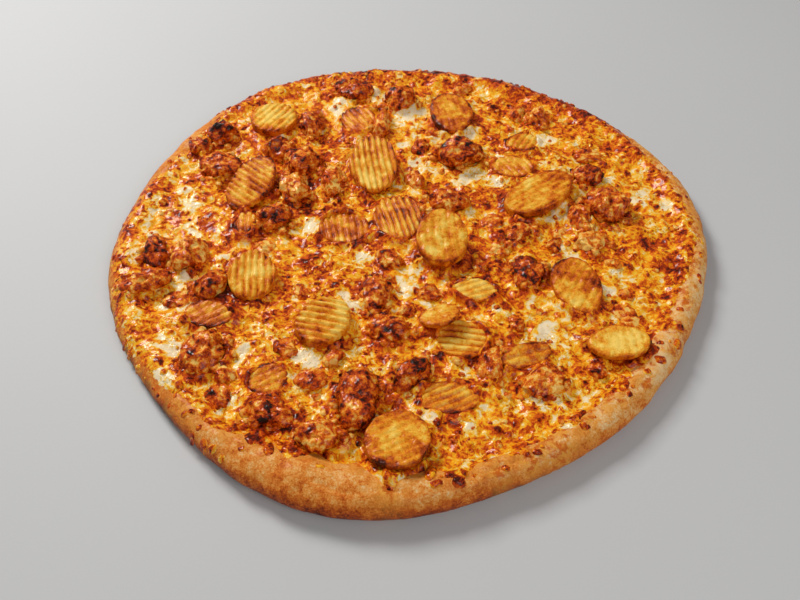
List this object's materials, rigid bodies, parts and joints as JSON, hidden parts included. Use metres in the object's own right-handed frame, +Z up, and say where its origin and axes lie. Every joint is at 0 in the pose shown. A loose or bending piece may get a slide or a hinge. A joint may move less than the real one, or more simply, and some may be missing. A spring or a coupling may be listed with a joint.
{
  "type": "buffalo chicken pizza",
  "caption": "Whole round pizza with a risen crust, melted orange and white cheese, crinkle-cut fried potato rounds and chunks of sauced chicken.",
  "frame": {"origin": "middle of the underside, on the surface that the pizza lies on", "axes": "+Z up, -Y towards the eater's side, where the bare crust is widest"},
  "size_m": [0.3628, 0.3602, 0.0301],
  "materials": {
    "baked_crust": "baked dough, golden brown, matt",
    "melted_cheese": "melted cheese, orange and cream, oily gloss",
    "fried_potato": "fried potato, golden, slightly oily",
    "sauced_chicken": "chicken in a hot red-brown sauce, slightly glossy"
  },
  "bodies": {
    "root": {"crust": "baked_crust", "cheese": "melted_cheese", "potato_01": "fried_potato", "potato_02": "fried_potato", "potato_03": "fried_potato", "potato_04": "fried_potato", "potato_05": "fried_potato", "potato_06": "fried_potato", "potato_07": "fried_potato", "potato_08": "fried_potato", "potato_09": "fried_potato", "potato_10": "fried_potato", "potato_11": "fried_potato", "potato_12": "fried_potato", "potato_13": "fried_potato", "potato_14": "fried_potato", "potato_15": "fried_potato", "potato_16": "fried_potato", "potato_17": "fried_potato", "potato_18": "fried_potato", "potato_19": "fried_potato", "potato_20": "fried_potato", "potato_21": "fried_potato", "potato_22": "fried_potato", "potato_23": "fried_potato", "potato_24": "fried_potato", "chicken_01": "sauced_chicken", "chicken_02": "sauced_chicken", "chicken_03": "sauced_chicken", "chicken_04": "sauced_chicken", "chicken_05": "sauced_chicken", "chicken_06": "sauced_chicken", "chicken_07": "sauced_chicken", "chicken_08": "sauced_chicken", "chicken_09": "sauced_chicken", "chicken_10": "sauced_chicken", "chicken_11": "sauced_chicken", "chicken_12": "sauced_chicken", "chicken_13": "sauced_chicken", "chicken_14": "sauced_chicken", "chicken_15": "sauced_chicken", "chicken_16": "sauced_chicken", "chicken_17": "sauced_chicken", "chicken_18": "sauced_chicken", "chicken_19": "sauced_chicken", "chicken_20": "sauced_chicken", "chicken_21": "sauced_chicken", "chicken_22": "sauced_chicken", "chicken_23": "sauced_chicken", "chicken_24": "sauced_chicken", "chicken_25": "sauced_chicken", "chicken_26": "sauced_chicken", "chicken_27": "sauced_chicken", "chicken_28": "sauced_chicken", "chicken_29": "sauced_chicken", "chicken_30": "sauced_chicken", "chicken_31": "sauced_chicken", "chicken_32": "sauced_chicken", "chicken_33": "sauced_chicken", "chicken_34": "sauced_chicken"}
  },
  "joints": []
}
